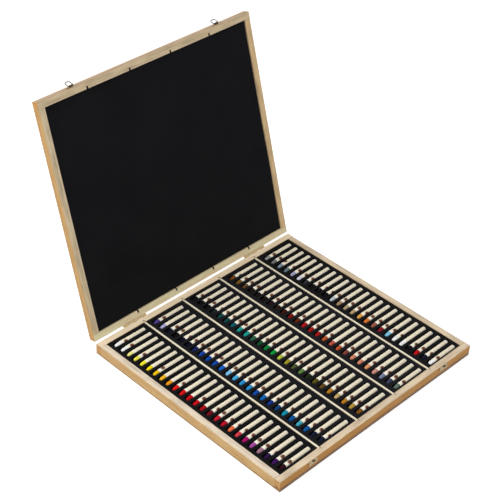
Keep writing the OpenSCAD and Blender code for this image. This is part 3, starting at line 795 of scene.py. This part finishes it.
class CASE_OT_trays(bpy.types.Operator):
    """Builds the slotted foam trays that the pastels lie in"""
    bl_idname = "pastel_case.trays"
    bl_label = "Foam Trays"

    side_play = 0.4 * MM
    end_play = 1.0 * MM
    foot_radius = 0.5 * MM
    swell = 0.10 * MM

    def execute(self, context):
        look = context.scene.case_foam
        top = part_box("tray_strips_1")[1].z
        # Painted shade: the slots fade to near black between these heights
        deep = (top - 0.9 * MM, top - 0.2 * MM)
        # Painted light: the outer trays' foam is darkened and the inner ones' lightened, as painted uneven light
        lit_inner_foam = foam_material("inner_tray_foam_painted_light", look, 1.05, deep)
        shaded_outer_foam = foam_material("outer_tray_foam_painted_shade", look, 0.70, deep)
        for tray in TRAYS:
            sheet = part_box(f"tray_sheet_{tray}")
            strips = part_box(f"tray_strips_{tray}")
            radius, centres = slots(tray)
            slot_x = np.array([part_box(f"pastels_{tray}")[0].x - self.end_play,
                               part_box(f"wrappers_{tray}")[1].x + self.end_play])
            steps = edge_steps(strips[1].z - sheet[1].z, look.edge_round, self.foot_radius)
            rim = rim_steps(strips[1].z - sheet[0].z, look.edge_round)
            y, y_slot, y_rim = self.cuts(sheet[0].y, sheet[1].y, centres[::-1], radius + self.side_play,
                                         steps, rim)
            x, x_slot, x_rim = self.cuts(sheet[0].x, sheet[1].x, [slot_x.mean()], np.ptp(slot_x) / 2,
                                         steps, rim)
            drop = np.maximum(np.minimum(y_slot[:, None], x_slot), np.maximum(y_rim[:, None], x_rim))

            def wave(across, along):
                return self.swell * np.sin(along * 31.0 + tray) * np.cos(across * 47.0)

            points, faces = block_surface(x, y, drop, strips[1].z, sheet[0].z, wave)
            finish_piece(add_mesh(f"foam_tray_{tray}", points, faces), "base",
                         (f"tray_sheet_{tray}", f"tray_strips_{tray}"),
                         shaded_outer_foam if tray in (TRAYS[0], TRAYS[-1]) else lit_inner_foam)
        return {"FINISHED"}

    @staticmethod
    def cuts(low, high, centres, half, steps, rim):
        """Places across a tray, the drop of a slot at each and the drop of the rim at each."""
        rows = [(low - reach, 0.0, fall) for reach, fall in rim[::-1]]
        for centre in centres:
            rows += [(centre - half + reach, fall, 0.0) for reach, fall in steps]
            rows += [(centre + half - reach, fall, 0.0) for reach, fall in steps[::-1]]
        rows += [(high + reach, 0.0, fall) for reach, fall in rim]
        return np.array(rows).T


class CASE_OT_lid_pad(bpy.types.Operator):
    """Builds the black foam pad that fills the lid"""
    bl_idname = "pastel_case.lid_pad"
    bl_label = "Lid Pad"

    edge_radius = 1.2 * MM
    margin = 6 * MM
    swell = 0.22 * MM
    bulge = 1.9 * MM
    loose_strip = 26 * MM

    def execute(self, context):
        vertices = frame["nodes"]["lid_pad"].data.vertices
        shut = turn_lid(read_all(vertices, "co", 3), -1.0)
        low, high = shut.min(0), shut.max(0)
        thick = high[2] - low[2]
        rim = rim_steps(thick, self.edge_radius)
        x, x_rim = self.with_rim(low[0], high[0], 90, rim)
        y, y_rim = self.with_rim(low[1], high[1], 80, rim)
        drop = np.maximum(y_rim[:, None], x_rim)

        def wave(across, along):
            """Slow waves over the sheet, and a bulge along its right edge where it isn't glued."""
            waves = np.sin(across * 19.0 + 1.3) * np.sin(along * 23.0 + 0.4)
            down = (high[1] - along) / (high[1] - low[1])
            right = np.clip((across - (high[0] - self.loose_strip)) / self.loose_strip, 0.0, 1.0)
            return self.swell * waves + self.bulge * np.exp(-((1 - down - 0.68) / 0.13) ** 2) * right ** 2

        points, faces = block_surface(x, y, drop, thick, 0.0, wave)
        points[:, 2] = high[2] - points[:, 2]
        piece = add_mesh("lid_pad_foam", turn_lid(points, 1.0), [face[::-1] for face in faces])
        finish_piece(piece, "lid", ("lid_pad",),
                     foam_material("pad_foam", context.scene.case_foam))
        return {"FINISHED"}

    def with_rim(self, low, high, count, rim):
        """Places across the pad and the drop of its rim at each."""
        inner = np.linspace(low + self.margin, high - self.margin, count)
        rows = [(low - reach, fall) for reach, fall in rim[::-1]] + [(place, 0.0) for place in inner]
        return np.array(rows + [(high + reach, fall) for reach, fall in rim]).T


class CASE_OT_pastels(bpy.types.Operator):
    """Builds the pastels: waxy sticks with a rounded tip, each in a paper sleeve"""
    bl_idname = "pastel_case.pastels"
    bl_label = "Pastels"

    segments = 16
    dome = 9.5 * MM
    paper = 0.25 * MM
    fold = 0.35 * MM

    def execute(self, context):
        look = context.scene.case_pastels
        luck = np.random.default_rng(look.shuffle)
        waxes = {tray: pigment_material(f"wax_{tray}") for tray in TRAYS}
        paper = paper_material("sleeve_paper", look)
        for tray in TRAYS:
            names = ROWS[tray].split()
            count = len(names)
            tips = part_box(f"pastels_{tray}")
            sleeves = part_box(f"wrappers_{tray}")
            radius, y = slots(tray)
            slide = luck.normal(0.0, 0.28 * MM, count).clip(-0.7 * MM, 0.7 * MM)
            aside = luck.normal(0.0, 0.09 * MM, count).clip(-0.18 * MM, 0.18 * MM)
            slopes = luck.normal(0.0, 0.0012, count).clip(-0.003, 0.003)
            level = (sleeves[1].z + sleeves[0].z) / 2
            starts = np.stack([tips[0].x + slide, y + aside, np.full(count, level)], -1)
            length = sleeves[1].x - tips[0].x
            bare = sleeves[0].x - tips[0].x
            self.wax(tray, names, starts, slopes, (tips[1].z - tips[0].z) / 2, length, waxes[tray])
            self.sleeve(tray, starts, slopes, radius, bare, length, paper, luck)
        return {"FINISHED"}

    def wax(self, tray, names, starts, slopes, radius, length, material):
        """One tray's sticks: a quarter ellipse for the tip, then a straight rod."""
        t = np.linspace(0.0, math.pi / 2, 7)
        nose = np.stack([self.dome * (1 - np.cos(t)), radius * np.sin(t)], -1)
        end = length - 0.8 * MM
        profile = np.concatenate([nose, [[end, radius], [end, 0.0]]])
        points, faces, each = revolve_many(profile, starts, slopes, self.segments)
        piece = add_mesh(f"pastel_sticks_{tray}", points, faces)
        colours = np.array([rgba(PIGMENTS[name]) for name in names])
        layer = piece.data.color_attributes.new("pigment", "FLOAT_COLOR", "POINT")
        layer.data.foreach_set("color", np.repeat(colours, each, 0).astype(np.float32).ravel())
        finish_piece(piece, f"row_{tray}", (f"pastels_{tray}",), material)

    def sleeve(self, tray, starts, slopes, radius, bare, length, material, luck):
        """One tray's sleeves: a paper tube over the stick with its far end folded in."""
        paper, fold = self.paper, self.fold
        inside, dent = length - 0.7 * MM, length - 0.35 * MM
        profile = np.array([
            [inside, 0.0], [inside, radius - paper], [bare, radius - paper], [bare, radius - 0.3 * paper],
            [bare + 0.15 * MM, radius], [length - fold, radius], [length - 0.25 * fold, radius - 0.3 * fold],
            [length, radius - fold], [dent, 0.35 * radius], [dent, 0.0]])
        points, faces, each = revolve_many(profile, starts, slopes, self.segments)
        piece = add_mesh(f"pastel_sleeves_{tray}", points, faces)
        facing = np.radians([MARK_TURNS[letter] for letter in MARKS[tray]])
        facing = facing + luck.normal(0.0, math.radians(13), len(starts))
        self.wrap(piece.data, starts, each, facing, bare)
        finish_piece(piece, f"row_{tray}", (f"wrappers_{tray}",), material)

    def wrap(self, mesh, starts, each, facing, bare):
        """UV map of the sleeves: u is the distance from the sleeve's mouth in units of 100 mm,
        and v the turn from the mark's middle, plus a half."""
        corners = read_all(mesh.loops, "vertex_index", kind=int)
        stick, point = np.divmod(corners, each)
        x = read_all(mesh.vertices, "co", 3)[corners, 0]
        u = (x - starts[stick, 0] - bare) / (100 * MM)
        column = (point % self.segments) / self.segments
        face = np.repeat(np.arange(len(mesh.polygons)), read_all(mesh.polygons, "loop_total", kind=int))
        low = np.full(len(mesh.polygons), 2.0)
        high = np.full(len(mesh.polygons), -1.0)
        np.minimum.at(low, face, column)
        np.maximum.at(high, face, column)
        crossing = (high - low > 0.5)[face] & (column < 0.5)
        v = column + crossing - facing[stick] / (2 * math.pi) + 0.5
        layer = mesh.uv_layers.new(name="wrap")
        layer.data.foreach_set("uv", np.stack([u, v], -1).astype(np.float32).ravel())


class CASE_OT_brass(bpy.types.Operator):
    """Gives the hinges, latches, keepers and screws their brass"""
    bl_idname = "pastel_case.brass"
    bl_label = "Brass Fittings"

    def execute(self, context):
        look = context.scene.case_metal
        flat, open_flat = (0, 0, 0), (LID_OPEN, 0, 0)
        # A node takes the first one that its name starts with
        kinds = {"keeper": brass_material("keeper_brass", look, 0.84, flat, turned_face("keeper_left", flat)),
                 "latch_plate": brass_material("latch_brass", look, 0.85, open_flat,
                                               turned_face("latch_plate_left", open_flat)),
                 "latch_loop": wire_material("latch_wire", look),
                 "": brass_material("fittings_brass", look)}
        for entry in frame["record"]["subparts"]:
            if entry["material_slot"] == "brass":
                node = entry["node"]
                dress(frame["nodes"][node], kinds[next(kind for kind in kinds if node.startswith(kind))])
        return {"FINISHED"}


class CASE_OT_stage(bpy.types.Operator):
    """Sets the floor, the soft lamps and the camera"""
    bl_idname = "pastel_case.stage"
    bl_label = "Stage"

    floor_half = 6.0
    floor_drop = 0.3 * MM
    lamps = (  # name, place, target, size in metres and power in watts
        ("left_key", (-2.3, 0.9, 2.2), (0.0, 0.0, 0.1), 1.8, 68.0),
        ("top", (0.3, 0.5, 2.4), (0.0, 0.0, 0.0), 1.2, 9.0),
        ("front_fill", (0.2, -1.9, 1.7), (0.0, 0.2, 0.2), 1.2, 10.5),
    )

    def execute(self, context):
        scene = context.scene
        scene.view_settings.view_transform = "Standard"
        self.floor()
        self.world(scene)
        for lamp in self.lamps:
            self.lamp(*lamp)
        self.camera(scene, scene.case_stage)
        return {"FINISHED"}

    @staticmethod
    def seen(nodes):
        """1 where the floor or world is seen straight or in a reflection, else 0."""
        light = nodes.add("ShaderNodeLightPath").outputs
        return nodes.math("MAXIMUM", light["Is Camera Ray"], light["Is Glossy Ray"])

    def floor(self):
        """A plain pale floor that shows white and keeps the case's shadow."""
        half, z = self.floor_half, -self.floor_drop
        corners = [(-half, -half, z), (half, -half, z), (half, half, z), (-half, half, z)]
        floor = add_mesh("stage_floor", corners, [[0, 1, 2, 3]], smooth=False)
        material, nodes, shader = new_material("stage_floor")
        set_shader(nodes, shader, base_color=grey(0.60), roughness=0.9, specular_ior_level=0.0)
        strength = nodes.times(self.seen(nodes), 0.75)
        glow = nodes.add("ShaderNodeEmission", {"Color": grey(1.0), "Strength": strength})
        both = nodes.add("ShaderNodeAddShader", {0: shader.outputs[0], 1: glow.outputs[0]})
        output = next(n for n in nodes.tree.nodes if n.type == "OUTPUT_MATERIAL")
        nodes.feed(output.inputs["Surface"], both.outputs[0])
        floor.data.materials.append(material)

    def world(self, scene):
        """A soft even light that shows as white."""
        world = bpy.data.worlds.new("studio")
        world.use_nodes = True
        nodes = Nodes(world.node_tree)
        nodes.tree.nodes.clear()
        strength = nodes.ramp(self.seen(nodes), 0.0, 1.0, 0.33, 1.0)
        sky = nodes.add("ShaderNodeBackground", {"Color": grey(1.0), "Strength": strength})
        nodes.add("ShaderNodeOutputWorld", {"Surface": sky.outputs[0]})
        scene.world = world

    @staticmethod
    def lamp(name, place, target, size, power):
        """A square lamp that looks at its target."""
        data = bpy.data.lights.new(name, "AREA")
        data.shape = "SQUARE"
        data.size = size
        data.energy = power
        lamp = bpy.data.objects.new(name, data)
        lamp.location = place
        lamp.rotation_euler = (Vector(target) - Vector(place)).to_track_quat("-Z", "Y").to_euler()
        bpy.context.scene.collection.objects.link(lamp)

    @staticmethod
    def camera(scene, look):
        """The camera, from its azimuth, elevation, roll and distance."""
        a, e, r = look.azimuth, look.elevation, look.roll
        back = Vector((math.sin(a) * math.cos(e), -math.cos(a) * math.cos(e), math.sin(e)))
        right = (-back).cross(Vector((0, 0, 1))).normalized()
        up = right.cross(-back)
        level = Matrix((right * math.cos(r) + up * math.sin(r), up * math.cos(r) - right * math.sin(r), back))
        place = back * look.distance + level[0] * look.aside[0] + level[1] * look.aside[1]
        data = bpy.data.cameras.new("case_view")
        data.lens = look.lens
        data.sensor_width = 36.0
        data.shift_x, data.shift_y = look.shift
        data.clip_end = 20.0
        camera = bpy.data.objects.new("view", data)
        camera.matrix_world = Matrix.Translation(place) @ level.transposed().to_4x4()
        scene.collection.objects.link(camera)
        scene.camera = camera


class CASE_PT_panel(bpy.types.Panel):
    """Lists the steps that dress the case"""
    bl_idname = "CASE_PT_panel"
    bl_label = "Pastel Case"
    bl_space_type = "VIEW_3D"
    bl_region_type = "UI"
    bl_category = "Pastel Case"

    def draw(self, context):
        for operator in OPERATORS:
            self.layout.operator(operator.bl_idname)


OPERATORS = (CASE_OT_wood, CASE_OT_trays, CASE_OT_lid_pad, CASE_OT_pastels, CASE_OT_brass, CASE_OT_stage)
GROUPS = {"case_wood": WoodSettings, "case_foam": FoamSettings, "case_pastels": PastelSettings,
          "case_metal": MetalSettings, "case_stage": StageSettings}


def register():
    for cls in (*GROUPS.values(), *OPERATORS, CASE_PT_panel):
        bpy.utils.register_class(cls)
    for name, cls in GROUPS.items():
        setattr(bpy.types.Scene, name, bpy.props.PointerProperty(type=cls))


def unregister():
    for name in GROUPS:
        delattr(bpy.types.Scene, name)
    for cls in (CASE_PT_panel, *reversed(OPERATORS), *reversed(list(GROUPS.values()))):
        bpy.utils.unregister_class(cls)


def main():
    register()
    bpy.ops.pastel_case.wood()
    bpy.ops.pastel_case.trays()
    bpy.ops.pastel_case.lid_pad()
    bpy.ops.pastel_case.pastels()
    bpy.ops.pastel_case.brass()
    bpy.ops.pastel_case.stage()


if __name__ == "__main__":
    main()
